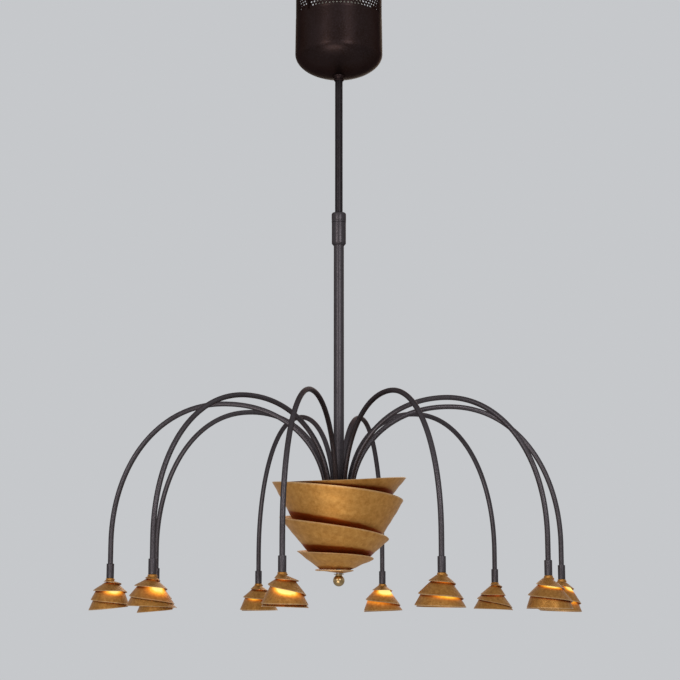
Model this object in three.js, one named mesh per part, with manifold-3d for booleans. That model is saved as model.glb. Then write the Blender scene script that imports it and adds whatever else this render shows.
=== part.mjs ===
// Ten-arm pendant lamp with spiral ribbon shades, a height-adjustable stem and a ceiling canopy.
// Millimetres, +Z up, origin on the ceiling at the lamp's axis, front of the lamp towards -Y.
import * as THREE from 'three'
import { mergeVertices } from 'three/addons/utils/BufferGeometryUtils.js'
import Module from 'manifold-3d'

const wasm = await Module()
wasm.setup()

// Driving dimensions: gaps between pieces
const seatGap = 0.3
const runningGap = 0.3

// Driving dimensions: canopy and what it hides
const canopyHeight = 154.4
const canopyRadius = 81.1
const canopyTopRadius = 80.4
const canopyWall = 0.8
const domeDepth = 42
const seatLandRadius = 15
const ventVisibleHeight = 46
const ventInsert = 6
const ventWall = 1
const ventCeilingGap = 1
const ventColumns = 22
const ventRows = 4
const ventHoleRadius = 4.2
const ventMargin = 4
const seamAngle = 46.2
const bracketWidth = 16
const bracketThickness = 2.5
const bracketEarDepth = 28
const fixingHoleRadius = 2.6
const fixingHoleReach = 51
const canopyScrewDrop = 20
const canopyScrewShank = 2
const canopyScrewHead = 4
const canopyScrewHeadHeight = 2.4
const canopyScrewLength = 9
const transformerRadius = 45
const transformerBoreRadius = 14
const transformerHeight = 50
const transformerRounding = 7
const boltRadius = 4
const boltHeadRadius = 6.5
const boltHeadHeight = 5
const dishedWasherRadius = 30
const dishedWasherDish = 4
const dishedWasherThickness = 2
const terminalLength = 15
const terminalWidth = 14
const terminalHeight = 11
const terminalPoles = 3
const terminalReach = 57

// Driving dimensions: ball swivel and telescoping stem
const ballRadius = 10
const seatWall = 1.2
const seatLipDrop = 2.6
const seatFlangeRadius = 14.6
const seatFlangeThickness = 3
const ballSocketRise = 3
const upperTubeRadius = 7
const upperTubeWall = 1.5
const hiddenTubeLength = 284
const lowerTubeRadius = 9.25
const lowerTubeLength = 510.7
const clampTopDrop = 414.3
const clampNutRadius = 13.2
const clampNutHeight = 19
const clampNutCeiling = 2.6
const clampSleeveRadius = 12.9
const clampSleeveHeight = 43
const clampSleeveChamfer = 3
const colletRadius = 9.9
const colletTopGap = 0.6
const tubeInSleeve = 34

// Driving dimensions: hub and arms
const armCount = 10
const firstArmAngle = 12.5
const armRadius = 4.5
const armReach = 400
const armApexReach = 203
const armRootReach = 22
const armRise = 175
const armDrop = 283
const armRootStraight = 4
const armEndStraight = 33
const armFullness = 2.1
const armSocketDepth = 6
const hubRadius = 32
const hubThickness = 12
const hubChamfer = 2
const hubTubeDepth = 8

// Driving dimensions: lampholders, shades and bulbs
const holderRadius = 6.5
const holderHeight = 25
const holderArmBore = 10
const holderNeckRadius = 4.9
const holderNutRadius = 6.6
const holderNutHeight = 2
const holderPinBore = 2.9
const holderPinDepth = 6
const collarHeight = 5.7
const collarWall = 1.9
const shadeThickness = 0.8
const shadeStartRadius = 6.6
const shadeStartDepth = 1.4
const shadeStartFall = 0.8
const shadeInnerRadius = 8.9
const shadeTuck = 5
const shadeTuckRise = 1.5
const shadeTurnSpacing = 2.6
const shadeLeastWidth = 2
const shadeStepsPerTurn = 12
const shadeStepsFirstTurn = 8
const bulbRadius = 4.6
const bulbLength = 27
const bulbBaseHeight = 4.5
const bulbTipLength = 6
const bulbTipRadius = 2.8
const bulbTipBevel = 1.2
const bulbPinSpread = 4
const bulbPinSide = 0.8
const bulbPinLength = 5.4
const bulbPinRoot = 1

// Driving dimensions: bowl, its rod and the finial
const rodRadius = 5
const hubToBowlSeat = 112.3
const bowlThickness = 1.2
const bowlStepsPerTurn = 24
const bowlWasherRadius = 9
const bowlWasherThickness = 1.2
const finialRadius = 10.25
const finialNeckRadius = 6
const finialNeckHeight = 2
const finialBoreDepth = 8

// Spiral of the bowl: turn, upper edge radius and height, lower edge radius and height, above its seat
const bowlRibbon = [
  [-0.45, 110, 157, 109, 154.5],
  [-0.25, 115, 155.6, 103, 139],
  [0, 120, 168.8, 81, 121],
  [0.5, 119, 161.7, 80.3, 93.2],
  [1, 114.5, 127.2, 69.3, 54],
  [1.5, 105.8, 99.2, 50.4, 33.5],
  [2, 88.7, 59.5, 47, 22.5],
  [2.5, 73.9, 38.9, 33.5, 8],
  [3, 61.5, 25.4, 21.2, 6.9],
  [3.5, 41.3, 5.6, 7.5, 2.4],
  [4, 25.4, 4.4, 6.7, 0.5],
  [4.2, 17, 2.6, 6.6, 0.1],
]

// Spiral of each shade, from the first one round to the left: radius and depth under the collar's top of
// the ribbon's lower edge, at every half turn from the right. Wound by hand, no two are alike
const shadeEdges = [
  [[9, 3], [11.5, 8.5], [25.7, 12.8], [21.6, 17.8], [37.1, 34.6], [31.9, 47], [40.6, 50], [32, 51.8], [41.2, 54]],
  [[8.8, 2.5], [11.4, 5], [12.6, 9.7], [27.7, 16.6], [24.5, 22.9], [36.5, 33.2], [36.3, 46.5], [40.4, 49.5], [40.4, 52.5]],
  [[8.8, 2.5], [10.5, 5], [19.5, 8.6], [28.5, 20.2], [30.2, 23.4], [32.3, 36], [34.3, 46.2], [36.2, 55], [32.3, 48.5]],
  [[8.8, 3], [12, 6], [19.5, 11], [28.5, 21], [30.2, 31], [33.5, 43], [34.5, 49], [35.2, 58], [32.5, 51.5]],
  [[9, 3], [15.4, 10], [19.5, 13.5], [30, 25.5], [33, 35], [36, 50.4], [39, 52], [33, 52]],
  [[9, 3], [20, 11.5], [20, 13.2], [33.5, 30], [35.9, 42], [37, 52.4], [40.3, 51.5], [37, 54.4]],
  [[9, 3], [14.4, 7.8], [28, 22], [20.4, 25], [35, 30], [33, 48.5], [41.5, 49.5], [33.5, 52.5]],
  [[9, 3], [13, 8], [21.6, 16.8], [31, 30], [33.8, 42.7], [42.5, 52.8], [34.3, 56.9], [40, 54.5]],
  [[9.5, 4.5], [20.5, 13.2], [26.5, 21.8], [34.8, 31.2], [39, 42.6], [36.7, 51.5], [40, 54], [37, 53]],
  [[9, 3], [20.9, 11.8], [21.9, 17.2], [37, 31.2], [33.7, 40.5], [42.7, 49.2], [37.5, 53], [40, 51.5]],
]

// The one shade that is wound from the left
const turnedShade = 7

const degrees = Math.PI / 180

// Facet counts of the round pieces
const canopySides = 40
const stemSides = 16
const ballSides = 16
const smallSides = 8
const socketSides = 8
const armSides = 8
const armInnerSteps = 6
const armOuterSteps = 8
const ringSides = 16

// Radius that a round hole's corners need, so that its flat facets still clear a given radius
function clearing(radius, sides, gap = runningGap) {
  return (radius + gap) / Math.cos(Math.PI / sides)
}

// Places along the axis, worked out from the driving dimensions
const canopyBottomZ = -canopyHeight
const shoulderZ = canopyBottomZ + domeDepth
const cupTopZ = -ventVisibleHeight
const ballCentreZ = canopyBottomZ
const ballSocketZ = ballCentreZ + ballSocketRise
const clampTopZ = -clampTopDrop
const clampNutBottomZ = clampTopZ - clampNutHeight
const sleeveShoulderZ = clampNutBottomZ - seatGap
const sleeveBottomZ = sleeveShoulderZ - clampSleeveHeight
const lowerTubeTopZ = sleeveBottomZ + tubeInSleeve
const lowerTubeBottomZ = lowerTubeTopZ - lowerTubeLength
const upperTubeBottomZ = clampTopZ - hiddenTubeLength
const hubTopZ = lowerTubeBottomZ + hubTubeDepth
const hubBottomZ = hubTopZ - hubThickness
const holderTopZ = hubTopZ + armRise - armDrop
const collarTop = -holderHeight - seatGap
const holderNutTop = collarTop - collarHeight - seatGap
const holderBottom = holderNutTop - holderNutHeight
const bowlSeatZ = hubBottomZ - hubToBowlSeat
const washerTopZ = bowlSeatZ - seatGap
const washerBottomZ = washerTopZ - bowlWasherThickness
const finialTopZ = washerBottomZ - seatGap
const rodTopZ = lowerTubeBottomZ - seatGap
const rodBottomZ = finialTopZ - finialBoreDepth

// Finishes
const lacquer = { color: 0x2a2024, roughness: 0.42, metalness: 0.6 }
const gilt = { color: 0xa8782c, roughness: 0.5, metalness: 0.7 }
const brass = { color: 0xb08a45, roughness: 0.3, metalness: 0.9 }
const steel = { color: 0x9a9a98, roughness: 0.4, metalness: 0.9 }
const copperTape = { color: 0xc9b45a, roughness: 0.6, metalness: 0.1 }
const nylon = { color: 0xe8e6df, roughness: 0.6, metalness: 0 }
const glass = { color: 0xfff1d0, roughness: 0.15, metalness: 0 }

const lamp = new THREE.Group()

function addPiece(name, geometry, finish) {
  const mesh = new THREE.Mesh(geometry, new THREE.MeshStandardMaterial(finish))
  mesh.name = name
  lamp.add(mesh)
  return mesh
}

// Turned piece about the Z axis from [radius, height] pairs that start and end on the axis, or close
function turned(profile, sides, firstAngle = 0) {
  const points = profile.map(([radius, height]) => new THREE.Vector2(radius, height))
  return new THREE.LatheGeometry(points, sides, firstAngle * degrees).rotateX(Math.PI / 2)
}

function closed(profile) {
  return [...profile, profile[0]]
}

// Tube with square ends, from its two radii and its two heights
function tube(inner, outer, bottom, top, sides) {
  return turned(closed([[inner, bottom], [outer, bottom], [outer, top], [inner, top]]), sides)
}

function toSolid(geometry) {
  const bare = geometry.clone()
  bare.deleteAttribute('normal')
  bare.deleteAttribute('uv')
  const merged = mergeVertices(bare, 1e-4)
  return new wasm.Manifold(new wasm.Mesh({
    numProp: 3,
    vertProperties: new Float32Array(merged.attributes.position.array),
    triVerts: new Uint32Array(merged.index.array),
  }))
}

function toGeometry(solid) {
  const mesh = solid.getMesh()
  const geometry = new THREE.BufferGeometry()
  geometry.setAttribute('position', new THREE.BufferAttribute(new Float32Array(mesh.vertProperties), 3))
  geometry.setIndex(new THREE.BufferAttribute(new Uint32Array(mesh.triVerts), 1))
  return geometry
}

function drilled(geometry, cutters) {
  return toGeometry(cutters.reduce((solid, cutter) => solid.subtract(toSolid(cutter)), toSolid(geometry)))
}

function joined(geometries) {
  return toGeometry(geometries.map(toSolid).reduce((solid, other) => solid.add(other)))
}

// Round bar or drill along +X, from one radius from the axis to another, at a height
function radialBar(radius, from, to, height, sides) {
  const bar = new THREE.CylinderGeometry(radius, radius, to - from, sides)
  return bar.rotateZ(Math.PI / 2).translate((from + to) / 2, 0, height)
}

// Strip wound in a spiral: a thin four-cornered section runs through the stations, counter-clockwise
function spiralRibbon(stations, thickness, stepsFirstTurn, stepsPerTurn, startAngle) {
  const edges = new THREE.CubicInterpolant(
    stations.map(([turn]) => turn), stations.flatMap(([, ...values]) => values), 4)
  const first = stations[0][0]
  const last = stations[stations.length - 1][0]
  const innerSteps = Math.round((1 - first) * stepsFirstTurn)
  const outerSteps = Math.round((last - 1) * stepsPerTurn)
  const steps = innerSteps + outerSteps
  const positions = []
  for (let step = 0; step <= steps; step++) {
    const turn = step < innerSteps
      ? first + (1 - first) * step / innerSteps
      : 1 + (last - 1) * (step - innerSteps) / outerSteps
    const [upperRadius, upperZ, lowerRadius, lowerZ] = edges.evaluate(turn)
    const across = new THREE.Vector2(lowerRadius - upperRadius, lowerZ - upperZ).normalize()
    const inwardRadius = across.y * thickness
    const inwardZ = -across.x * thickness
    const angle = startAngle * degrees + turn * 2 * Math.PI
    const corners = [
      [upperRadius, upperZ],
      [lowerRadius, lowerZ],
      [lowerRadius + inwardRadius, lowerZ + inwardZ],
      [upperRadius + inwardRadius, upperZ + inwardZ],
    ]
    for (const [radius, z] of corners) {
      positions.push(radius * Math.cos(angle), radius * Math.sin(angle), z)
    }
  }
  const faces = [0, 2, 1, 0, 3, 2]
  for (let step = 0; step < steps; step++) {
    for (let corner = 0; corner < 4; corner++) {
      const here = 4 * step + corner
      const beside = 4 * step + (corner + 1) % 4
      faces.push(here, beside, here + 4, beside, beside + 4, here + 4)
    }
  }
  const end = 4 * steps
  faces.push(end, end + 1, end + 2, end, end + 2, end + 3)
  const ribbon = new THREE.BufferGeometry()
  ribbon.setAttribute('position', new THREE.Float32BufferAttribute(positions, 3))
  ribbon.setIndex(faces)
  return ribbon
}

// Ceiling bracket: a steel strip bent down at both ends, with two fixing holes and two threaded ears
const ventOuter = (canopyTopRadius - canopyWall) * Math.cos(Math.PI / canopySides) - seatGap
const ventInner = ventOuter - ventWall
const ventFlat = Math.cos(Math.PI / ventColumns)
const earFace = ventInner * ventFlat - seatGap

function ceilingBracket() {
  const side = new THREE.Shape([
    [-earFace, -bracketEarDepth], [-earFace + bracketThickness, -bracketEarDepth],
    [-earFace + bracketThickness, -bracketThickness], [earFace - bracketThickness, -bracketThickness],
    [earFace - bracketThickness, -bracketEarDepth], [earFace, -bracketEarDepth],
    [earFace, 0], [-earFace, 0],
  ].map(([x, z]) => new THREE.Vector2(x, z)))
  const strip = new THREE.ExtrudeGeometry(side, { depth: bracketWidth, bevelEnabled: false })
  strip.rotateX(Math.PI / 2).translate(0, bracketWidth / 2, 0)
  const fixingHoles = [-fixingHoleReach, fixingHoleReach].map((x) =>
    new THREE.CylinderGeometry(fixingHoleRadius, fixingHoleRadius, 3 * bracketThickness, socketSides)
      .rotateX(Math.PI / 2).translate(x, 0, -bracketThickness / 2))
  const earHole = clearing(canopyScrewShank, smallSides)
  const earDrills = [1, -1].map((way) =>
    radialBar(earHole, earFace - 2 * bracketThickness, earFace + bracketThickness,
      -canopyScrewDrop, smallSides).rotateZ(way > 0 ? 0 : Math.PI))
  return drilled(strip, [...fixingHoles, ...earDrills])
}

addPiece('ceiling_bracket', ceilingBracket(), steel).rotation.z = seamAngle * degrees

// Perforated band: flat cells round a ring, each other cell with a six-sided hole, plain at the two screws
function ventBand() {
  const bottom = cupTopZ - ventInsert
  const top = -ventCeilingGap
  const rowsBottom = cupTopZ + ventMargin
  const rowPitch = (top - ventMargin - rowsBottom) / ventRows
  const step = 2 * Math.PI / ventColumns
  const levels = [bottom, rowsBottom]
  for (let row = 1; row <= ventRows; row++) levels.push(rowsBottom + row * rowPitch)
  levels.push(top)
  const positions = []

  // Point in the flat cell of a column, at a share of its width and a height, on the inner or outer face
  const place = (radius, column, across, z) => {
    const before = (column - 0.5) * step
    const after = (column + 0.5) * step
    return [
      radius * (Math.cos(before) * (1 - across) + Math.cos(after) * across),
      radius * (Math.sin(before) * (1 - across) + Math.sin(after) * across),
      z,
    ]
  }
  const triangle = (a, b, c) => positions.push(...a, ...b, ...c)
  const quad = (a, b, c, d) => {
    triangle(a, b, c)
    triangle(a, c, d)
  }
  const plainCell = (column, low, high) => {
    const corner = (radius, across, z) => place(radius, column, across, z)
    quad(corner(ventOuter, 0, low), corner(ventOuter, 1, low), corner(ventOuter, 1, high), corner(ventOuter, 0, high))
    quad(corner(ventInner, 1, low), corner(ventInner, 0, low), corner(ventInner, 0, high), corner(ventInner, 1, high))
  }
  const holedCell = (column, low, high) => {
    const width = 2 * ventOuter * Math.sin(step / 2)
    const middle = (low + high) / 2
    const hole = (radius) => [0, 1, 2, 3, 4, 5].map((index) => place(radius, column,
      0.5 + ventHoleRadius * Math.cos(index * Math.PI / 3) / width,
      middle + ventHoleRadius * Math.sin(index * Math.PI / 3)))
    for (const [radius, outwards] of [[ventOuter, true], [ventInner, false]]) {
      const h = hole(radius)
      const [a, b, c, d] = [[0, low], [1, low], [1, high], [0, high]]
        .map(([across, z]) => place(radius, column, across, z))
      const fan = [
        [a, b, h[4]], [b, h[5], h[4]], [b, h[0], h[5]], [b, c, h[0]], [c, h[1], h[0]],
        [c, d, h[1]], [d, h[2], h[1]], [d, h[3], h[2]], [d, a, h[3]], [a, h[4], h[3]],
      ]
      for (const [p, q, r] of fan) triangle(p, ...(outwards ? [q, r] : [r, q]))
    }
    const outerHole = hole(ventOuter)
    const innerHole = hole(ventInner)
    for (let index = 0; index < 6; index++) {
      const next = (index + 1) % 6
      quad(outerHole[index], outerHole[next], innerHole[next], innerHole[index])
    }
  }
  for (let column = 0; column < ventColumns; column++) {
    for (let level = 0; level < levels.length - 1; level++) {
      const isRow = level > 0 && level <= ventRows
      const isScrewColumn = column % (ventColumns / 2) === 0
      const cell = isRow && !isScrewColumn && (column + level) % 2 === 0 ? holedCell : plainCell
      cell(column, levels[level], levels[level + 1])
    }
    const rim = (radius, across, z) => place(radius, column, across, z)
    quad(rim(ventInner, 0, top), rim(ventOuter, 0, top), rim(ventOuter, 1, top), rim(ventInner, 1, top))
    quad(rim(ventOuter, 0, bottom), rim(ventInner, 0, bottom), rim(ventInner, 1, bottom), rim(ventOuter, 1, bottom))
  }
  const band = new THREE.BufferGeometry()
  band.setAttribute('position', new THREE.Float32BufferAttribute(positions, 3))
  const screwHole = clearing(canopyScrewShank, smallSides)
  const drills = [0, Math.PI].map((angle) =>
    radialBar(screwHole, ventInner - 3 * ventWall, ventOuter + 3 * ventWall, -canopyScrewDrop, smallSides)
      .rotateZ(angle))
  return drilled(mergeVertices(band, 1e-4), drills)
}

addPiece('vent_band', ventBand(), lacquer).rotation.z = seamAngle * degrees

// Two screws through the band's plain cells into the bracket's ears
function canopyScrew() {
  const face = ventOuter * ventFlat
  const seat = face + seatGap
  const profile = [
    [0, seat - canopyScrewLength], [canopyScrewShank, seat - canopyScrewLength], [canopyScrewShank, seat],
    [canopyScrewHead, seat], [canopyScrewHead, seat + canopyScrewHeadHeight / 2],
    [canopyScrewHead / 2, seat + canopyScrewHeadHeight], [0, seat + canopyScrewHeadHeight],
  ]
  return turned(profile, smallSides).rotateY(Math.PI / 2).translate(0, 0, -canopyScrewDrop)
}

addPiece('canopy_screw_1', canopyScrew(), lacquer).rotation.z = seamAngle * degrees
addPiece('canopy_screw_2', canopyScrew(), lacquer).rotation.z = seamAngle * degrees + Math.PI

// Spun cup: a flat land round the swivel, an elliptical dome and a side that draws in upwards
function canopyCup() {
  const quarterDome = (inset) => {
    const across = canopyRadius - inset
    const start = Math.asin(seatLandRadius / across)
    const down = (domeDepth - inset) / Math.cos(start)
    const points = []
    const count = inset ? 3 : 5
    for (let index = 0; index <= count; index++) {
      const angle = start + (Math.PI / 2 - start) * index / count
      points.push([across * Math.sin(angle), shoulderZ - down * Math.cos(angle)])
    }
    return points
  }
  const hole = clearing(ballRadius + 2 * runningGap + seatWall, canopySides)
  const outside = [[hole, canopyBottomZ], ...quarterDome(0), [canopyTopRadius, cupTopZ]]
  const inside = [[hole, canopyBottomZ + canopyWall], ...quarterDome(canopyWall), [canopyTopRadius - canopyWall, cupTopZ]]
  return turned(closed([...outside, ...inside.reverse()]), canopySides)
}

addPiece('canopy_cup', canopyCup(), lacquer)

// Ring-core transformer, hung from the bracket by one bolt with a dished washer under it
const transformerTopZ = -bracketThickness - seatGap
const transformerBottomZ = transformerTopZ - transformerHeight

function transformer() {
  const top = transformerTopZ
  const bottom = transformerBottomZ
  const round = transformerRounding
  return turned(closed([
    [transformerBoreRadius, bottom + round], [transformerBoreRadius + round, bottom],
    [transformerRadius - round, bottom], [transformerRadius, bottom + round],
    [transformerRadius, top - round], [transformerRadius - round, top],
    [transformerBoreRadius + round, top], [transformerBoreRadius, top - round],
  ]), ringSides)
}

const dishTopZ = transformerBottomZ - seatGap
const dishBottomZ = dishTopZ - dishedWasherThickness

function dishedWasher() {
  const hole = clearing(boltRadius, ringSides)
  const flat = dishedWasherRadius / 2
  const dish = dishedWasherDish
  return turned(closed([
    [hole, dishBottomZ + dish], [flat - dish, dishBottomZ + dish], [flat, dishBottomZ],
    [dishedWasherRadius, dishBottomZ], [dishedWasherRadius, dishTopZ],
    [flat, dishTopZ], [flat - dish, dishTopZ + dish], [hole, dishTopZ + dish],
  ]), ringSides)
}

function transformerBolt() {
  const headTop = dishBottomZ + dishedWasherDish - seatGap
  return turned([
    [0, headTop - boltHeadHeight], [boltHeadRadius, headTop - boltHeadHeight], [boltHeadRadius, headTop],
    [boltRadius, headTop], [boltRadius, transformerTopZ], [0, transformerTopZ],
  ], smallSides)
}

addPiece('transformer', transformer(), copperTape)
addPiece('transformer_washer', dishedWasher(), steel)
addPiece('transformer_bolt', transformerBolt(), steel)

// Terminal block: a moulded strip with a rounded bump for each pole, under the bracket
function terminalBlock() {
  const outline = new THREE.Shape()
  const pole = terminalLength / terminalPoles
  const shoulder = terminalHeight * 0.6
  outline.moveTo(0, 0)
  outline.lineTo(terminalLength, 0)
  outline.lineTo(terminalLength, shoulder)
  for (let index = terminalPoles - 1; index >= 0; index--) {
    outline.lineTo((index + 0.8) * pole, terminalHeight)
    outline.lineTo((index + 0.2) * pole, terminalHeight)
    outline.lineTo(index * pole, shoulder)
  }
  const block = new THREE.ExtrudeGeometry(outline, { depth: terminalWidth, bevelEnabled: false })
  block.rotateX(-Math.PI / 2)
  return block
}

const terminalGroup = new THREE.Group()
terminalGroup.rotation.z = seamAngle * degrees
lamp.add(terminalGroup)
const terminal = addPiece('terminal_block', terminalBlock(), nylon)
terminal.position.set(terminalReach, -terminalWidth / 2, -bracketThickness - seatGap)
terminalGroup.add(terminal)

// Ball swivel: a flanged seat ring rests on the canopy's land, and the ball hangs in it
function swivelSeat() {
  const inner = ballRadius + 2 * runningGap
  const outer = inner + seatWall
  const flangeBottom = canopyBottomZ + canopyWall + seatGap
  const lipZ = ballCentreZ - seatLipDrop
  const bowl = [1, 0.5, 0].map((share) => {
    const drop = seatLipDrop * share
    return [Math.sqrt(inner * inner - drop * drop), ballCentreZ - drop]
  })
  return turned(closed([
    bowl[0], [bowl[0][0] + seatWall, lipZ], [outer, lipZ + seatWall], [outer, flangeBottom],
    [seatFlangeRadius, flangeBottom], [seatFlangeRadius, flangeBottom + seatFlangeThickness],
    [inner, flangeBottom + seatFlangeThickness], bowl[2], bowl[1],
  ]), ballSides)
}

function swivelBall() {
  const socket = clearing(upperTubeRadius, stemSides)
  const mouth = -Math.sqrt(ballRadius * ballRadius - socket * socket)
  const first = Math.acos(-mouth / ballRadius)
  const rings = 7
  const outside = []
  for (let index = 0; index < rings; index++) {
    const angle = first + (Math.PI - first) * index / rings
    outside.push([ballRadius * Math.sin(angle), ballCentreZ - ballRadius * Math.cos(angle)])
  }
  return turned([[0, ballSocketZ], [socket, ballSocketZ], ...outside, [0, ballCentreZ + ballRadius]], ballSides)
}

addPiece('swivel_seat', swivelSeat(), lacquer)
addPiece('swivel_ball', swivelBall(), lacquer)

// Telescoping stem: the thin upper tube slides inside the wide lower tube
const upperTubeBore = clearing(upperTubeRadius, stemSides)
const lowerTubeBore = clearing(lowerTubeRadius, stemSides)
addPiece('upper_tube',
  tube(upperTubeRadius - upperTubeWall, upperTubeRadius, upperTubeBottomZ, ballSocketZ - seatGap, stemSides), lacquer)
addPiece('lower_tube',
  tube(upperTubeBore, lowerTubeRadius, lowerTubeBottomZ, lowerTubeTopZ, stemSides), lacquer)

// Height clamp: a sleeve on the lower tube with a collet neck, and the nut that closes the collet
function clampSleeve() {
  const chamfer = clampSleeveChamfer
  const neckTop = clampTopZ - clampNutCeiling - colletTopGap
  return turned(closed([
    [lowerTubeBore, sleeveBottomZ], [clampSleeveRadius - chamfer, sleeveBottomZ],
    [clampSleeveRadius, sleeveBottomZ + chamfer], [clampSleeveRadius, sleeveShoulderZ],
    [colletRadius, sleeveShoulderZ], [colletRadius, neckTop], [upperTubeBore, neckTop],
    [upperTubeBore, lowerTubeTopZ + seatGap], [lowerTubeBore, lowerTubeTopZ + seatGap],
  ]), stemSides)
}

function clampNut() {
  const inner = clearing(colletRadius, stemSides)
  const ceiling = clampTopZ - clampNutCeiling
  return turned(closed([
    [inner, clampNutBottomZ], [clampNutRadius, clampNutBottomZ], [clampNutRadius, clampTopZ],
    [upperTubeBore, clampTopZ], [upperTubeBore, ceiling], [inner, ceiling],
  ]), stemSides)
}

addPiece('clamp_sleeve', clampSleeve(), lacquer)
addPiece('clamp_nut', clampNut(), lacquer)

// Direction of each arm in turn, from the front one round to the left
const armAngles = Array.from({ length: armCount }, (_, index) =>
  -Math.PI / 2 - (firstArmAngle + index * 360 / armCount) * degrees)

// Hub inside the bowl: a turned disc with a bore for the stem and a socket for the root of each arm
function armHub() {
  const rodBore = clearing(rodRadius, stemSides)
  const chamfer = hubChamfer
  const disc = turned(closed([
    [rodBore, hubBottomZ], [hubRadius - chamfer, hubBottomZ], [hubRadius, hubBottomZ + chamfer],
    [hubRadius, hubTopZ - chamfer], [hubRadius - chamfer, hubTopZ], [lowerTubeBore, hubTopZ],
    [lowerTubeBore, rodTopZ], [rodBore, rodTopZ],
  ]), ringSides)
  const socketRadius = clearing(armRadius, socketSides)
  const depth = armSocketDepth + seatGap
  const drills = armAngles.map((angle) =>
    new THREE.CylinderGeometry(socketRadius, socketRadius, 2 * depth, socketSides).rotateX(Math.PI / 2)
      .translate(armRootReach * Math.cos(angle), armRootReach * Math.sin(angle), hubTopZ))
  return drilled(disc, drills)
}

addPiece('arm_hub', armHub(), steel)

// Bent tube of an arm: straight out of the hub, up and over in two quarter arches, straight into its holder
const armSteps = 1 + armInnerSteps + armOuterSteps + 1

class ArmPath extends THREE.Curve {
  getPoint(share, target = new THREE.Vector3()) {
    const rootZ = hubTopZ - armSocketDepth
    const innerZ = hubTopZ + armRootStraight
    const apexZ = hubTopZ + armRise
    const outerZ = holderTopZ + armEndStraight
    const endZ = holderTopZ - holderArmBore + seatGap
    const power = 2 / armFullness
    const quarterArch = (reach, footZ, part) => target.set(
      armApexReach + (reach - armApexReach) * Math.cos(part * Math.PI / 2) ** power, 0,
      footZ + (apexZ - footZ) * Math.sin(part * Math.PI / 2) ** power)
    const step = share * armSteps
    if (step <= 1) return target.set(armRootReach, 0, rootZ + (innerZ - rootZ) * step)
    if (step <= 1 + armInnerSteps) return quarterArch(armRootReach, innerZ, (step - 1) / armInnerSteps)
    if (step <= armSteps - 1) return quarterArch(armReach, outerZ, (armSteps - 1 - step) / armOuterSteps)
    return target.set(armReach, 0, outerZ + (endZ - outerZ) * (step - armSteps + 1))
  }

  // The bends begin on a step, so the steps follow the pieces of the path and not its length
  getPointAt(share, target) {
    return this.getPoint(share, target)
  }

  getTangentAt(share, target) {
    return this.getTangent(share, target)
  }
}

function armTube() {
  const section = new THREE.Shape(Array.from({ length: armSides }, (_, index) => {
    const angle = 2 * Math.PI * (index + 0.5) / armSides
    return new THREE.Vector2(armRadius * Math.cos(angle), armRadius * Math.sin(angle))
  }))
  return new THREE.ExtrudeGeometry(section, { steps: armSteps, extrudePath: new ArmPath() })
}

// Lampholder: a sleeve that takes the arm's end, a neck through the shade and a ring nut under it
function lampholder() {
  const armBore = clearing(armRadius, smallSides)
  return turned([
    [0, holderBottom + holderPinDepth], [holderPinBore, holderBottom + holderPinDepth],
    [holderPinBore, holderBottom], [holderNutRadius, holderBottom], [holderNutRadius, holderNutTop],
    [holderNeckRadius, holderNutTop], [holderNeckRadius, -holderHeight], [holderRadius, -holderHeight],
    [holderRadius, 0], [armBore, 0], [armBore, -holderArmBore], [0, -holderArmBore],
  ], smallSides)
}

// Stations of a shade's ribbon, two to a turn: the upper edge of each turn is tucked in behind the lower
// edge of the turn above, and stays clear of that turn's slope
function shadeStations(lowerEdges) {
  const stations = []
  lowerEdges.forEach(([radius, depth], index) => {
    let upperRadius = shadeStartRadius
    let upperDepth = shadeStartDepth + shadeStartFall * index
    if (index >= 2) {
      const [, radiusAboveUpper, zAboveUpper] = stations[index - 2]
      const [radiusAbove, depthAbove] = lowerEdges[index - 2]
      upperRadius = Math.max(shadeInnerRadius, radiusAbove - shadeTuck)
      const slope = (depthAbove + zAboveUpper - collarTop) / (radiusAbove - radiusAboveUpper)
      const clearOfSlope = depthAbove - (radiusAbove - upperRadius) * slope + shadeTurnSpacing * Math.hypot(1, slope)
      upperDepth = Math.min(depth - shadeLeastWidth, Math.max(depthAbove - shadeTuckRise, clearOfSlope))
    }
    stations.push([index / 2, upperRadius, collarTop - upperDepth, radius, collarTop - depth])
  })
  return stations
}

// Spiral shade: a gilt ribbon wound outwards and down from the collar that hangs on the lampholder
function shade(index) {
  const inner = clearing(holderNeckRadius, smallSides)
  const collar = tube(inner, inner + collarWall, collarTop - collarHeight, collarTop, smallSides)
  const startAngle = index + 1 === turnedShade ? 180 : 0
  return joined([
    collar,
    spiralRibbon(shadeStations(shadeEdges[index]), shadeThickness, shadeStepsFirstTurn, shadeStepsPerTurn, startAngle),
  ])
}

// Capsule bulb: ceramic base with two pins, and a glass capsule with a rounded tip
function bulb() {
  const top = holderBottom - seatGap
  const bottom = top - bulbLength
  const capsule = turned([
    [0, bottom], [bulbTipRadius, bottom + bulbTipBevel], [bulbRadius, bottom + bulbTipLength],
    [bulbRadius, top - bulbBaseHeight], [bulbRadius, top], [0, top],
  ], smallSides)
  const pins = [-1, 1].map((way) =>
    new THREE.BoxGeometry(bulbPinSide, bulbPinSide, bulbPinLength + bulbPinRoot)
      .translate(way * bulbPinSpread / 2, 0, top + (bulbPinLength - bulbPinRoot) / 2))
  return joined([capsule, ...pins])
}

const armGeometry = armTube()
const holderGeometry = lampholder()
const bulbGeometry = bulb()

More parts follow.
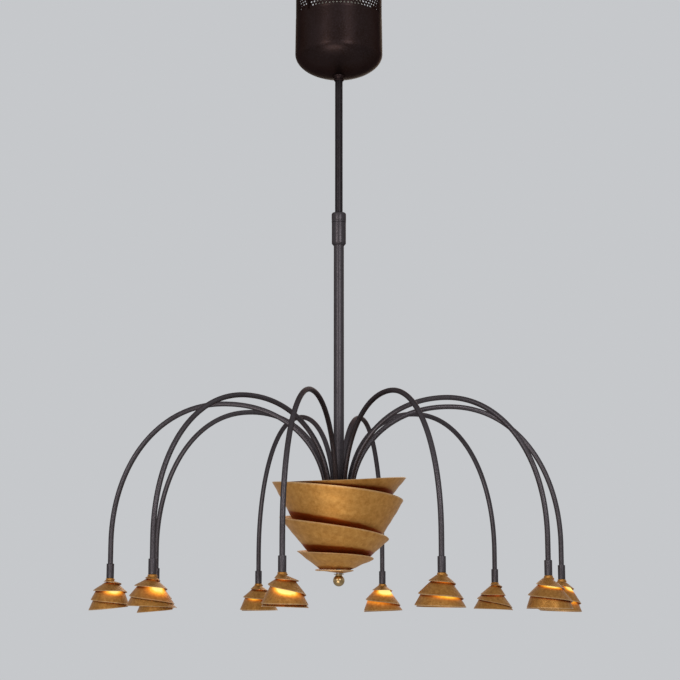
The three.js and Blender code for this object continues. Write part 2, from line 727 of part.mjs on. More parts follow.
armAngles.forEach((angle, index) => {
  const number = index + 1
  addPiece(`arm_${number}`, armGeometry, lacquer).rotation.z = angle
  const holderGroup = new THREE.Group()
  holderGroup.position.set(armReach * Math.cos(angle), armReach * Math.sin(angle), holderTopZ)
  lamp.add(holderGroup)
  const holder = addPiece(`lampholder_${number}`, holderGeometry, lacquer)
  const ribbon = addPiece(`shade_${number}`, shade(index), gilt)
  const capsule = addPiece(`bulb_${number}`, bulbGeometry, glass)
  holder.rotation.z = angle
  capsule.rotation.z = angle
  holderGroup.add(holder, ribbon, capsule)
})

// Rod down from the hub, the spiral bowl that stands on its washer, and the ball finial that clamps it
function finial() {
  const bore = clearing(rodRadius, stemSides)
  const neckBottom = finialTopZ - finialNeckHeight
  const centre = neckBottom - Math.sqrt(finialRadius ** 2 - finialNeckRadius ** 2)
  const first = Math.asin(finialNeckRadius / finialRadius)
  const rings = 7
  const outside = []
  for (let index = 0; index < rings; index++) {
    const angle = Math.PI - (Math.PI - first) * index / (rings - 1)
    outside.push([finialRadius * Math.sin(angle), centre + finialRadius * Math.cos(angle)])
  }
  const boreBottom = finialTopZ - finialBoreDepth - seatGap
  return turned([
    [0, centre - finialRadius], ...outside.slice(1), [finialNeckRadius, finialTopZ], [bore, finialTopZ],
    [bore, boreBottom], [0, boreBottom],
  ], stemSides)
}

addPiece('centre_rod', turned([
  [0, rodBottomZ], [rodRadius, rodBottomZ], [rodRadius, rodTopZ], [0, rodTopZ],
], stemSides), steel)
addPiece('bowl', spiralRibbon(bowlRibbon, bowlThickness, bowlStepsPerTurn, bowlStepsPerTurn, 0), gilt)
  .position.z = bowlSeatZ
addPiece('bowl_washer',
  tube(clearing(rodRadius, stemSides), bowlWasherRadius, washerBottomZ, washerTopZ, stemSides), brass)
addPiece('finial_ball', finial(), brass)

export default lamp
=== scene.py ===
# Pendant lamp with ten arched arms, spiral shades and a spiral bowl. Metres, +Z up, the ceiling at z = 0.
import math

import bpy
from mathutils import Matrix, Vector, noise


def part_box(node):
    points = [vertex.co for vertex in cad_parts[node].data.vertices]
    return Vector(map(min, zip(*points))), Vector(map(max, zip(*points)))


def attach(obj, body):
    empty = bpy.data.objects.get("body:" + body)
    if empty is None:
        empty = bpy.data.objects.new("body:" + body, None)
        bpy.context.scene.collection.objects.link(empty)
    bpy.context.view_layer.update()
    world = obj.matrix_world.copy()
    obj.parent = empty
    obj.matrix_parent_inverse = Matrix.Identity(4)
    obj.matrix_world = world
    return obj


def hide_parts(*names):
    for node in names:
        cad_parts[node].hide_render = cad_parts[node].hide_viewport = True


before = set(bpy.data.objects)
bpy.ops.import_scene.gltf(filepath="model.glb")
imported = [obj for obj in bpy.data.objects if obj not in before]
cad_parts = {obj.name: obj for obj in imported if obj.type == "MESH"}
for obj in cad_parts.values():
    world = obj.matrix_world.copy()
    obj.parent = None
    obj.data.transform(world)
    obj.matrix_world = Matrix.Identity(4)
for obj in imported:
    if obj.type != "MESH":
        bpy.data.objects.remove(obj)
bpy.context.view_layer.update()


# Ceiling bracket: a strip of zinc-plated steel, bent down at both ends, that the fitter screws to the
# ceiling. Its ears carry the canopy. It keeps the solid of the model and gets the plated finish.
MM = 0.001


class Wire:
    """An output of a node. Arithmetic on wires adds Math nodes, and node() adds any other node."""

    def __init__(self, tree, socket=None):
        self.tree = tree
        self.socket = socket

    def node(self, kind, settings=None, sockets=None, output=0):
        made = self.tree.nodes.new(kind)
        for name, value in (settings or {}).items():
            if name == "stops":
                self.set_stops(made.color_ramp, value)
            else:
                setattr(made, name, value)
        for name, value in (sockets or {}).items():
            if not isinstance(value, (Wire, list)):
                made.inputs[name].default_value = value
                continue
            for wire in value if isinstance(value, list) else [value]:
                self.tree.links.new(wire.socket, made.inputs[name])
        return Wire(self.tree, made.outputs[output] if made.outputs else None)

    def set_stops(self, ramp, stops):
        while len(ramp.elements) < len(stops):
            ramp.elements.new(0.5)
        for element, (position, colour) in zip(ramp.elements, stops):
            element.position = position
            element.color = colour

    def output(self, name):
        """Another output of the node that this wire comes from."""
        return Wire(self.tree, self.socket.node.outputs[name])

    def maths(self, operation, *values):
        return self.node("ShaderNodeMath", {"operation": operation}, dict(enumerate(values)))

    def __add__(self, other):
        return self.maths("ADD", self, other)

    __radd__ = __add__

    def __mul__(self, other):
        return self.maths("MULTIPLY", self, other)

    __rmul__ = __mul__

    def __sub__(self, other):
        return self.maths("SUBTRACT", self, other)

    def __rsub__(self, other):
        return self.maths("SUBTRACT", other, self)

    def __truediv__(self, other):
        return self.maths("DIVIDE", self, other)


def start_material(name):
    """A new material for the slot of that name, and the wire of its object coordinates."""
    material = bpy.data.materials.new(name)
    material["slot"] = name
    material.use_nodes = True
    material.node_tree.nodes.clear()
    place = Wire(material.node_tree).node("ShaderNodeTexCoord", output="Object")
    return material, place


def patches(place, size, detail=3.0, roughness=0.55):
    """Soft patches of about that size in metres, from 0 to 1."""
    return place.node("ShaderNodeTexNoise", {}, {
        "Vector": place, "Scale": 1 / size, "Detail": detail, "Roughness": roughness})


def between(mask, low, high):
    """The mask stretched so that low becomes 0 and high becomes 1."""
    return mask.node("ShaderNodeMapRange", {}, {"Value": mask, "From Min": low, "From Max": high})


def tint(mask, low, high):
    """Colour low where the mask is 0 and colour high where it is 1."""
    return mask.node("ShaderNodeMix", {"data_type": "RGBA"}, {0: mask, 6: low, 7: high}, output=2)


def raised(height, depth, normal=None):
    """Normal that shows a height of 0 to 1 as relief of that depth in metres."""
    sockets = {"Height": height, "Distance": depth}
    if normal:
        sockets["Normal"] = normal
    return height.node("ShaderNodeBump", {}, sockets)


def finish_material(wire, **sockets):
    """Principled surface with these sockets, joined to the material's output."""
    named = {name.replace("_", " ").title().replace("Ior", "IOR"): value for name, value in sockets.items()}
    surface = wire.node("ShaderNodeBsdfPrincipled", {}, named)
    wire.node("ShaderNodeOutputMaterial", {}, {"Surface": surface})


def carry_over(node, material):
    """Gives a solid of the model its finish."""
    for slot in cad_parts[node].material_slots:
        slot.material = material


def zinc_finish():
    material, place = start_material("zinc_steel")
    crystals = place.node("ShaderNodeTexVoronoi", {}, {
        "Vector": place, "Scale": 1 / (9 * MM)}, output="Color")
    flake = crystals.node("ShaderNodeSeparateColor", {}, {"Color": crystals})
    dull = patches(place, 14 * MM)
    colour = tint(flake * 0.5 + dull * 0.5, (0.38, 0.39, 0.40, 1), (0.60, 0.61, 0.62, 1))
    finish_material(
        place, base_color=colour, metallic=0.9, roughness=0.26 + 0.22 * dull + 0.08 * flake,
        normal=raised(patches(place, 1.2 * MM), 0.02 * MM))
    return material


zinc_steel = zinc_finish()
carry_over("ceiling_bracket", zinc_steel)


# Transformer: a ring core of wound wire under a lapped wrap of cream tape, hung from the bracket
# by one bolt with a dished washer. It feeds the low-voltage bulbs, and is hidden by the canopy.
def add_object(name, data):
    thing = bpy.data.objects.new(name, data)
    bpy.context.scene.collection.objects.link(thing)
    return thing


def smooth(mesh, sharp_angle=40):
    """Smooth shading, with the edges past an angle in degrees kept sharp."""
    mesh.shade_smooth()
    mesh.set_sharp_from_angle(angle=math.radians(sharp_angle))


def add_mesh(name, vertices, faces, sharp_angle=40):
    mesh = bpy.data.meshes.new(name)
    mesh.from_pydata([tuple(vertex) for vertex in vertices], [], faces)
    smooth(mesh, sharp_angle)
    return add_object(name, mesh)


def dress(piece, material, body, *nodes):
    """Gives a piece its finish and that finish's slot, the body it moves with and the nodes it replaces."""
    if not piece.data.materials:
        piece.data.materials.append(material)
    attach(piece, body)
    if nodes:
        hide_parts(*nodes)


def softened(profile, radius, steps=3, looped=True):
    """The profile with its corners cut to small arcs of about that radius."""
    result = []
    count = len(profile)
    for index, point in enumerate(profile):
        if not looped and index in (0, count - 1):
            result.append(point)
            continue
        corner = Vector(point)
        before = Vector(profile[index - 1]) - corner
        after = Vector(profile[(index + 1) % count]) - corner
        reach = min(radius, before.length * 0.45, after.length * 0.45)
        if before.angle(after) > math.radians(160):
            result.append(point)
            continue
        start = corner + before.normalized() * reach
        end = corner + after.normalized() * reach
        for step in range(steps + 1):
            share = step / steps
            point = start.lerp(corner, share).lerp(corner.lerp(end, share), share)
            result.append((point.x, point.y))
    return result


def turned(profile, sides=96, centre=(0, 0), looped=True):
    """Vertices and faces of a profile of (radius, height) pairs, outside upwards, turned about an upright
    axis. A looped profile closes on itself, and any other starts and ends on the axis."""
    rings = profile if looped else profile[1:-1]
    vertices = []
    for radius, height in rings:
        for side in range(sides):
            angle = 2 * math.pi * side / sides
            vertices.append((
                centre[0] + radius * math.cos(angle), centre[1] + radius * math.sin(angle), height))
    faces = []
    count = len(rings)
    for ring in range(count if looped else count - 1):
        here = ring * sides
        there = (ring + 1) % count * sides
        for side in range(sides):
            beside = (side + 1) % sides
            faces.append((here + side, here + beside, there + beside, there + side))
    if not looped:
        bottom = len(vertices)
        vertices += [(*centre, profile[0][1]), (*centre, profile[-1][1])]
        last = (count - 1) * sides
        for side in range(sides):
            beside = (side + 1) % sides
            faces.append((bottom, beside, side))
            faces.append((bottom + 1, last + side, last + beside))
    return vertices, faces


def tape_finish():
    material, place = start_material("winding_tape")
    lap_count = 36
    across = place.node("ShaderNodeSeparateXYZ", {}, {0: place})
    angle = place.maths("ARCTAN2", across.output("Y"), across)
    lap = place.maths("FRACT", angle * (lap_count / (2 * math.pi)))
    wrinkle = patches(place, 5 * MM)
    colour = tint(between(wrinkle, 0.3, 0.7), (0.66, 0.62, 0.50, 1), (0.80, 0.77, 0.66, 1))
    shaded = tint(lap, colour, (0.70, 0.66, 0.54, 1))
    finish_material(
        place, base_color=shaded, roughness=0.30 + 0.25 * wrinkle, coat_weight=0.3,
        normal=raised(wrinkle, 0.3 * MM, raised(lap, 0.5 * MM)))
    return material


winding_tape = tape_finish()
core_low, core_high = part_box("transformer")
core_hole = 14 * MM
core_radius = 45 * MM
core_profile = softened([
    (core_hole, core_low.z), (core_radius, core_low.z), (core_radius, core_high.z),
    (core_hole, core_high.z),
], 9 * MM, steps=7)
core = add_mesh("transformer_wrap", *turned(core_profile, sides=108), sharp_angle=80)
dress(core, winding_tape, "canopy", "transformer")

dish_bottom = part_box("transformer_washer")[0].z
dish_rise = 4 * MM
dish_sheet = 2 * MM
dish_under = [
    (4.4 * MM, dish_bottom + dish_rise), (11 * MM, dish_bottom + dish_rise), (15 * MM, dish_bottom),
    (30 * MM, dish_bottom)]
dish_over = [(radius, height + dish_sheet) for radius, height in reversed(dish_under)]
dish_profile = softened(dish_under + dish_over, 1 * MM)
dish = add_mesh("transformer_dish", *turned(dish_profile, sides=72))
dress(dish, zinc_steel, "canopy", "transformer_washer")
carry_over("transformer_bolt", zinc_steel)


# Terminal block: a moulded white nylon strip with three poles, fixed under the bracket, where the
# house wiring joins the lamp. It keeps the solid of the model.
def nylon_finish():
    material, place = start_material("white_nylon")
    cloud = patches(place, 4 * MM)
    colour = tint(cloud, (0.66, 0.65, 0.60, 1), (0.80, 0.79, 0.75, 1))
    finish_material(
        place, base_color=colour, roughness=0.42 + 0.15 * cloud, subsurface_weight=0.05,
        normal=raised(patches(place, 0.8 * MM), 0.03 * MM))
    return material


carry_over("terminal_block", nylon_finish())


# Canopy cup: spun from sheet steel over a form, round all the way, with a domed bottom that ends in a
# small flat land round the swivel. Sprayed with a dark brown lacquer with soft highlights.
def lacquer_finish(name, dark, middle, light, edge):
    """Sprayed lacquer with metal in it, a little cloudy, with the faint grain of the spray. Its edges, seen
    at a low angle, take on the edge colour."""
    material, place = start_material(name)
    material["slot"] = "brown_lacquer"
    cloudy = between(patches(place, 45 * MM), 0.32, 0.70)
    fine = patches(place, 2.2 * MM, 2.0)
    colour = tint(between(fine, 0.42, 0.85), tint(cloudy, dark, middle), light)
    finish_material(
        place, base_color=colour, metallic=0.9, roughness=0.30 + 0.12 * fine + 0.05 * cloudy,
        specular_ior_level=0.2, specular_tint=edge, normal=raised(fine, 0.015 * MM))
    return material


brown_lacquer = lacquer_finish(
    "canopy_lacquer", (0.022, 0.0125, 0.0105, 1), (0.030, 0.0190, 0.0185, 1), (0.041, 0.0285, 0.0300, 1),
    (0.38, 0.31, 0.24, 1))
cup_low, cup_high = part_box("canopy_cup")
canopy_radius = max(cup_high)
canopy_bottom = cup_low.z
canopy_sheet = 0.8 * MM
canopy_taper = 0.7 * MM


def cup_wall(inset, dome_steps=28, side_steps=6):
    """One face of the cup, from the swivel's hole out round the dome and up the side."""
    hole_radius, land_radius, dome_depth = 12.2 * MM, 15 * MM, 42 * MM
    across = canopy_radius - inset
    start = math.asin(land_radius / across)
    down = (dome_depth - inset) / math.cos(start)
    shoulder = canopy_bottom + dome_depth
    points = [(hole_radius, canopy_bottom + inset)]
    for step in range(dome_steps + 1):
        angle = start + (math.pi / 2 - start) * step / dome_steps
        points.append((across * math.sin(angle), shoulder - down * math.cos(angle)))
    for step in range(1, side_steps + 1):
        share = step / side_steps
        points.append((across - canopy_taper * share, shoulder + (cup_high.z - shoulder) * share))
    return points


cup = add_mesh("canopy_shell", *turned(cup_wall(0) + cup_wall(canopy_sheet)[::-1], sides=128))
dress(cup, brown_lacquer, "canopy", "canopy_cup")


# Vent band: a ring of perforated sheet above the cup that lets the transformer's heat out. Staggered
# rows of round holes, with a plain strip at each of the two screws, finished with the cup's lacquer.
def join(*parts):
    return parts[0].node("GeometryNodeJoinGeometry", {}, {0: list(parts)})


def start_tree(name, inputs):
    """A geometry node group with a mesh output and these named inputs, and a wire for each input."""
    tree = bpy.data.node_groups.new(name, "GeometryNodeTree")
    tree.interface.new_socket("Mesh", in_out="OUTPUT", socket_type="NodeSocketGeometry")
    for label, value in inputs.items():
        kind = {int: "NodeSocketInt", float: "NodeSocketFloat"}.get(type(value), "NodeSocketMaterial")
        tree.interface.new_socket(label, in_out="INPUT", socket_type=kind).default_value = value
    given = Wire(tree).node("NodeGroupInput")
    return tree, {label: given.output(label) for label in inputs}


def finish_tree(piece, tree, mesh):
    """Sends the mesh out of the group, runs the group on the piece and keeps what it makes."""
    mesh.node("NodeGroupOutput", {}, {"Mesh": mesh})
    piece.modifiers.new(tree.name, "NODES").node_group = tree
    evaluated = piece.evaluated_get(bpy.context.evaluated_depsgraph_get())
    made = bpy.data.meshes.new_from_object(evaluated)
    piece.modifiers.clear()
    piece.data = made


def vent_ring():
    ring_low, ring_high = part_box("vent_band")
    wall = 1 * MM
    cup_gap = 0.25 * MM
    radius = canopy_radius - canopy_taper - canopy_sheet - cup_gap
    columns, rows = 74, 7
    margin_below, margin_above = 9.5 * MM, 0.9 * MM
    tree, given = start_tree("perforations", {
        "Columns": columns, "Rows": rows,
        "Hole Radius": 1.75 * MM, "Pitch Around": 2 * math.pi * radius / columns,
        "Pitch Up": (ring_high.z - ring_low.z - margin_below - margin_above) / rows,
        "Margin Below": margin_below, "Margin Above": margin_above, "Wall": wall, "Radius": radius - wall,
        "Bottom": float(ring_low.z), "Flare": 0.75 * MM, "Seam Angle": math.radians(46.2),
        "Finish": brown_lacquer})
    start = Wire(tree)
    pitch, rise = given["Pitch Around"], given["Pitch Up"]

    def outline(height):
        edge = start.node("GeometryNodeCurvePrimitiveQuadrilateral", {}, {"Width": pitch, "Height": height})
        return edge.node("GeometryNodeSubdivideCurve", {}, {"Curve": edge, "Cuts": 1})

    def filled(*curves):
        return start.node("GeometryNodeFillCurve", {}, {"Curve": join(*curves)})

    hole = start.node("GeometryNodeCurvePrimitiveCircle", {}, {
        "Resolution": 14, "Radius": given["Hole Radius"]})
    holed_tile = filled(outline(rise), hole)
    plain_tile = filled(outline(rise))

    def grid(count_up, middle_up):
        points = start.node("GeometryNodeMeshGrid", {}, {
            "Size X": (given["Columns"] - 1) * pitch, "Size Y": (count_up - 1) * rise,
            "Vertices X": given["Columns"], "Vertices Y": count_up})
        offset = start.node("ShaderNodeCombineXYZ", {}, {1: middle_up})
        return points.node("GeometryNodeSetPosition", {}, {"Geometry": points, "Offset": offset})

    # Every second row is shifted by half a column, and the holes stop beside the two screws
    middle = given["Bottom"] + given["Margin Below"] + given["Rows"] * rise * 0.5
    points = grid(given["Rows"], middle)
    index = start.node("GeometryNodeInputIndex")
    row = index.maths("MODULO", index, given["Rows"])
    shift = start.node("ShaderNodeCombineXYZ", {}, {0: row.maths("MODULO", row, 2.0) * pitch * 0.5})
    points = points.node("GeometryNodeSetPosition", {}, {"Geometry": points, "Offset": shift})
    position = start.node("GeometryNodeInputPosition")
    around = position.node("ShaderNodeSeparateXYZ", {}, {0: position})
    half_turn = given["Columns"] * pitch * 0.5
    away = position.maths("PINGPONG", around, half_turn * 0.5)
    near_screw = away.maths("LESS_THAN", away, pitch * 0.9)

    def place_tiles(points, tile, selection=None):
        sockets = {"Points": points, "Instance": tile}
        if selection:
            sockets["Selection"] = selection
        return points.node("GeometryNodeInstanceOnPoints", {}, sockets)

    def margin(height, middle_up):
        one_row = grid(start.node("FunctionNodeInputInt", {"integer": 1}), middle_up)
        return place_tiles(one_row, filled(outline(height)))

    tiles = join(
        place_tiles(points, plain_tile, near_screw),
        place_tiles(points, holed_tile, 1 - near_screw),
        margin(given["Margin Below"], given["Bottom"] + given["Margin Below"] * 0.5),
        margin(given["Margin Above"], middle + given["Rows"] * rise * 0.5 + given["Margin Above"] * 0.5))
    sheet_metal = start.node("GeometryNodeRealizeInstances", {}, {"Geometry": tiles})
    weld = {"Distance": 0.02 * MM}
    sheet_metal = start.node("GeometryNodeMergeByDistance", {}, {"Geometry": sheet_metal, **weld})
    up = start.node("ShaderNodeCombineXYZ", {}, {2: given["Wall"]})
    face = start.node("GeometryNodeExtrudeMesh", {}, {
        "Mesh": sheet_metal, "Offset": up, "Offset Scale": 1.0, "Individual": False})
    back = start.node("GeometryNodeFlipFaces", {}, {"Mesh": sheet_metal})

    # The flat sheet is rolled into a ring: its length runs round, its width up, its thickness outwards. Its
    # plain lower margin fits in the cup, and above it the ring is a little wider
    turn = around / given["Columns"] / pitch * (2 * math.pi) + given["Seam Angle"]
    height = around.output("Y")
    flare_start = given["Bottom"] + given["Margin Below"] * 0.5
    flare = between(height, flare_start, given["Bottom"] + given["Margin Below"])
    out = around.output("Z") + given["Radius"] + flare * given["Flare"]
    rolled = start.node("ShaderNodeCombineXYZ", {}, {
        0: out * turn.maths("COSINE", turn), 1: out * turn.maths("SINE", turn), 2: height})
    ring = start.node("GeometryNodeSetPosition", {}, {"Geometry": join(face, back), "Position": rolled})
    ring = start.node("GeometryNodeMergeByDistance", {}, {"Geometry": ring, **weld})
    ring = start.node("GeometryNodeSetMaterial", {}, {"Geometry": ring, "Material": given["Finish"]})
    piece = add_mesh("vent_ring", [], [])
    finish_tree(piece, tree, ring)
    smooth(piece.data)
    return piece


dress(vent_ring(), brown_lacquer, "canopy", "vent_band")


# Canopy screws: two pan-head screws through the plain strips of the band into the bracket's ears.
# Turned steel with a sawn slot, lacquered with the canopy.
for number in (1, 2):
    carry_over(f"canopy_screw_{number}", brown_lacquer)


# Ball swivel: a turned seat ring lies on the land inside the canopy and the ball of the stem hangs in
# it, so the lamp hangs straight from a sloping ceiling. Steel, lacquered dark brown, with a small
# rounded collar under the ball.
ball_radius = 10 * MM
upper_radius = 7 * MM
ball_z = canopy_bottom
seat_low, seat_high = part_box("swivel_seat")
seat_inner = 10.6 * MM
seat_neck = 11.8 * MM
end_gap = 0.3 * MM
seat_flange = canopy_bottom + canopy_sheet + end_gap
seat_profile = softened([
    (10.3 * MM, seat_low.z), (11.5 * MM, seat_low.z), (seat_neck, seat_low.z + 1.2 * MM),
    (seat_neck, seat_flange), (seat_high.x, seat_flange),
    (seat_high.x, seat_high.z), (seat_inner, seat_high.z), (seat_inner, ball_z),
], 0.5 * MM)
seat = add_mesh("swivel_ring", *turned(seat_profile, sides=72))
dress(seat, brown_lacquer, "swivel", "swivel_seat")


def ball_profile(radius, centre_z, first, last, steps):
    """Points of a ball's outline between two angles from its bottom."""
    angles = [first + (last - first) * step / steps for step in range(steps + 1)]
    return [(radius * math.sin(angle), centre_z - radius * math.cos(angle)) for angle in angles]


# Radius and depth under the ball's centre of the collar's outline, in millimetres
collar_outline = [(7.7, 9.9), (8.8, 9.1), (9.2, 8.2), (9.2, 7.2), (8.8, 6.5)]
collar_foot = ball_z - collar_outline[0][1] * MM
collar_top = math.asin(8.3 * MM / ball_radius)
tube_end = ball_z + 3 * MM
ball_outline = [(0, tube_end), (upper_radius, tube_end), (upper_radius, collar_foot)]
ball_outline += [(radius * MM, ball_z - depth * MM) for radius, depth in collar_outline]
ball_outline += ball_profile(ball_radius, ball_z, collar_top, math.pi * 0.985, 20)
ball_outline += [(0, ball_z + ball_radius)]
ball = add_mesh("swivel_ball_turned", *turned(ball_outline, sides=64, looped=False))
dress(ball, brown_lacquer, "stem", "swivel_ball")


# Upper tube: thin-walled steel tube of 14 mm fixed in the ball, on which the lower tube slides up and
# down. Its copy of the lacquer is painted a little lighter and greyer than the canopy's, for the brighter
# light on it.
def pipe(name, outer, inner, bottom, top, sides=48):
    profile = softened([(inner, bottom), (outer, bottom), (outer, top), (inner, top)], 0.35 * MM)
    return add_mesh(name, *turned(profile, sides=sides))


# A copy of the lacquer painted a little lighter, for the light on the upper tube
tube_lacquer = lacquer_finish(
    "tube_lacquer", (0.024, 0.020, 0.021, 1), (0.032, 0.027, 0.029, 1), (0.043, 0.037, 0.040, 1),
    (0.38, 0.33, 0.31, 1))
upper_low, upper_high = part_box("upper_tube")
upper_wall = 1.5 * MM
upper = pipe("stem_inner_tube", upper_radius, upper_radius - upper_wall, upper_low.z, upper_high.z)
dress(upper, tube_lacquer, "stem", "upper_tube")


# Lower tube: the wide steel tube of 18.5 mm that carries the arms, the bowl and the height clamp. From
# here down the same lacquer is painted lighter and greyer, a lit copy for the brighter light lower down.
# A lit copy of the lacquer, painted lighter for the light that falls on the lower parts
lit_grey_lacquer = lacquer_finish(
    "stem_lacquer", (0.062, 0.053, 0.056, 1), (0.078, 0.068, 0.073, 1), (0.100, 0.088, 0.096, 1),
    (0.38, 0.33, 0.31, 1))
lower_radius = 9.25 * MM
slide_bore = upper_radius + 0.35 * MM
lower_low, lower_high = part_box("lower_tube")
lower = pipe("stem_outer_tube", lower_radius, slide_bore, lower_low.z, lower_high.z)
dress(lower, lit_grey_lacquer, "fixture", "lower_tube")


# Height clamp: a turned sleeve on the lower tube, with a chamfered foot and a collet neck, and the nut
# that closes the collet round the upper tube. Both are turned steel with broken edges, lacquered.
sleeve_low, sleeve_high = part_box("clamp_sleeve")
nut_low, nut_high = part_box("clamp_nut")
sleeve_radius = 12.9 * MM
collet_radius = 9.9 * MM
lower_seat = lower_radius + 0.1 * MM
sleeve_shoulder = nut_low.z - end_gap
sleeve_profile = softened([
    (lower_seat, sleeve_low.z), (sleeve_radius - 3 * MM, sleeve_low.z),
    (sleeve_radius, sleeve_low.z + 3.4 * MM), (sleeve_radius, sleeve_shoulder),
    (collet_radius, sleeve_shoulder), (collet_radius, sleeve_high.z), (slide_bore, sleeve_high.z),
    (slide_bore, lower_high.z + end_gap), (lower_seat, lower_high.z + end_gap),
], 0.7 * MM)
sleeve = add_mesh("clamp_body", *turned(sleeve_profile, sides=72))
dress(sleeve, lit_grey_lacquer, "fixture", "clamp_sleeve")

nut_radius = 13.2 * MM
nut_groove = nut_radius - 0.35 * MM
nut_bore = collet_radius + 0.4 * MM
nut_ceiling = nut_high.z - 2.6 * MM
nut_profile = softened([
    (nut_bore, nut_low.z), (nut_radius, nut_low.z), (nut_radius, nut_low.z + 2.2 * MM),
    (nut_groove, nut_low.z + 2.6 * MM), (nut_groove, nut_low.z + 3.4 * MM),
    (nut_radius, nut_low.z + 3.8 * MM), (nut_radius, nut_high.z - 4.5 * MM),
    (12.4 * MM, nut_high.z - 2 * MM), (8.2 * MM, nut_high.z), (slide_bore, nut_high.z),
    (slide_bore, nut_ceiling), (nut_bore, nut_ceiling),
], 0.4 * MM)
nut = add_mesh("clamp_collar", *turned(nut_profile, sides=72))
dress(nut, lit_grey_lacquer, "clamp_nut", "clamp_nut")


# Arm hub: a turned steel disc inside the bowl. The lower tube ends in it, and ten sockets round it
# take the roots of the arms.
hub_low, hub_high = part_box("arm_hub")
hub_radius = 32 * MM
rod_hole = 5.4 * MM
hub_profile = softened([
    (rod_hole, hub_low.z), (hub_radius, hub_low.z), (hub_radius, hub_high.z), (lower_seat, hub_high.z),
    (lower_seat, lower_low.z - end_gap), (rod_hole, lower_low.z - end_gap),
], 2 * MM)
hub = add_mesh("arm_hub_disc", *turned(hub_profile, sides=96))
dress(hub, zinc_steel, "fixture", "arm_hub")


# Arms: ten steel tubes of 9 mm, bent up out of the hub and over in one arch that ends straight down,
# every 36 degrees. Lacquered like the stem.
arm_count = 10
arm_reach = 400 * MM
arm_socket = 10 * MM
holder_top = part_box("lampholder_1")[1].z


def arm_angle(number):
    """Direction of an arm. The first stands 12.5 degrees to the left of the front, which is at -90."""
    return math.radians(-90 - 12.5 - 360 / arm_count * (number - 1))


def arm_path(inner_steps=34, outer_steps=44):
    """Points of an arm as (distance from the lamp's axis, height): out of the hub, up and over in two
    quarters of an arch that is a little fuller than an ellipse, and down into the lampholder."""
    root_reach, apex_reach, fullness = 22 * MM, 203 * MM, 2.1
    foot = hub_high.z + 4 * MM
    apex = hub_high.z + 175 * MM
    drop = holder_top + 33 * MM
    power = 2 / fullness

    def arch(reach, foot_z, share):
        angle = share * math.pi / 2
        return (apex_reach + (reach - apex_reach) * max(math.cos(angle), 0) ** power,
                foot_z + (apex - foot_z) * math.sin(angle) ** power)

    points = [(root_reach, hub_high.z - 6 * MM)]
    points += [arch(root_reach, foot, step / inner_steps) for step in range(inner_steps + 1)]
    points += [arch(arm_reach, drop, 1 - step / outer_steps) for step in range(1, outer_steps + 1)]
    return points + [(arm_reach, holder_top - arm_socket + end_gap)]


def swept(points, radius, angle, sides=24):
    """A round bar along points of (reach, height), in the upright plane that stands at that angle."""
    along = Vector((math.cos(angle), math.sin(angle), 0))
    beside = Vector((-math.sin(angle), math.cos(angle), 0))
    upright = Vector((0, 0, 1))
    places = [along * reach + upright * height for reach, height in points]
    vertices = []
    for index, place in enumerate(places):
        tangent = (places[min(index + 1, len(places) - 1)] - places[max(index - 1, 0)]).normalized()
        outward = tangent.cross(beside)
        for side in range(sides):
            turn = 2 * math.pi * side / sides
            vertices.append(place + (beside * math.cos(turn) + outward * math.sin(turn)) * radius)
    faces = [tuple(range(sides)), tuple(reversed(range((len(places) - 1) * sides, len(places) * sides)))]
    for ring in range(len(places) - 1):
        for side in range(sides):
            here, beside_here = ring * sides + side, ring * sides + (side + 1) % sides
            faces.append((here, here + sides, beside_here + sides, beside_here))
    return vertices, faces


arm_radius = 4.5 * MM
for number in range(1, arm_count + 1):
    arm = add_mesh(f"arm_tube_{number}", *swept(arm_path(), arm_radius, arm_angle(number)), sharp_angle=60)
    dress(arm, lit_grey_lacquer, "fixture", f"arm_{number}")


# Lampholders: turned sleeves pushed over the ends of the arms, with a neck that goes through the
# shade's collar and a ring nut under it. Lacquered steel.
holder_shoulder = holder_top - 25 * MM


def holder_profile():
    radius, bore, neck, ring_nut, bulb_hole = 6.5 * MM, 4.7 * MM, 4.9 * MM, 6.6 * MM, 2.9 * MM
    nut_top = holder_shoulder - 6.3 * MM
    nut_bottom = nut_top - 2 * MM
    hole_end = nut_bottom + 6 * MM
    socket_end = holder_top - arm_socket
    return softened([
        (0, hole_end), (bulb_hole, hole_end), (bulb_hole, nut_bottom), (ring_nut, nut_bottom),
        (ring_nut, nut_top), (neck, nut_top), (neck, holder_shoulder), (radius, holder_shoulder),
        (radius, holder_top), (bore, holder_top), (bore, socket_end), (0, socket_end),
    ], 0.5 * MM, looped=False)


def holder_place(number):
    angle = arm_angle(number)
    return arm_reach * math.cos(angle), arm_reach * math.sin(angle)


for number in range(1, arm_count + 1):
    place = holder_place(number)
    holder = add_mesh(f"holder_sleeve_{number}", *turned(holder_profile(), 48, place, looped=False))
    dress(holder, lit_grey_lacquer, "fixture", f"lampholder_{number}")


# Shades: each is a strip of sheet metal wound by hand into an open spiral of three and a half or four
# turns, soldered to a short collar and gilded inside and out. The bulb's light leaking out between the turns
# is painted on the strips as a glow.
def spline(knots, turn):
    """Values at a turn on a smooth curve through rows of (turn, values), as the model's ribbons have."""
    right = next((index for index in range(1, len(knots)) if turn <= knots[index][0]), len(knots) - 1)
    start, end = knots[right - 1], knots[right]
    before = knots[right - 2] if right >= 2 else end
    after = knots[right + 1] if right + 1 < len(knots) else start
    half = (end[0] - start[0]) * 0.5
    bend_in = half / (start[0] - before[0])
    bend_out = half / (after[0] - end[0])
    part = (turn - start[0]) / (end[0] - start[0])
    square = part * part
    cube = square * part
    shares = (
        (before, -bend_in * cube + 2 * bend_in * square - bend_in * part),
        (start, (1 + bend_in) * cube + (-1.5 - 2 * bend_in) * square + (bend_in - 0.5) * part + 1),
        (end, (-1 - bend_out) * cube + (1.5 + bend_out) * square + 0.5 * part),
        (after, bend_out * cube - bend_out * square))
    return [sum(row[column] * share for row, share in shares) for column in range(1, len(knots[0]))]


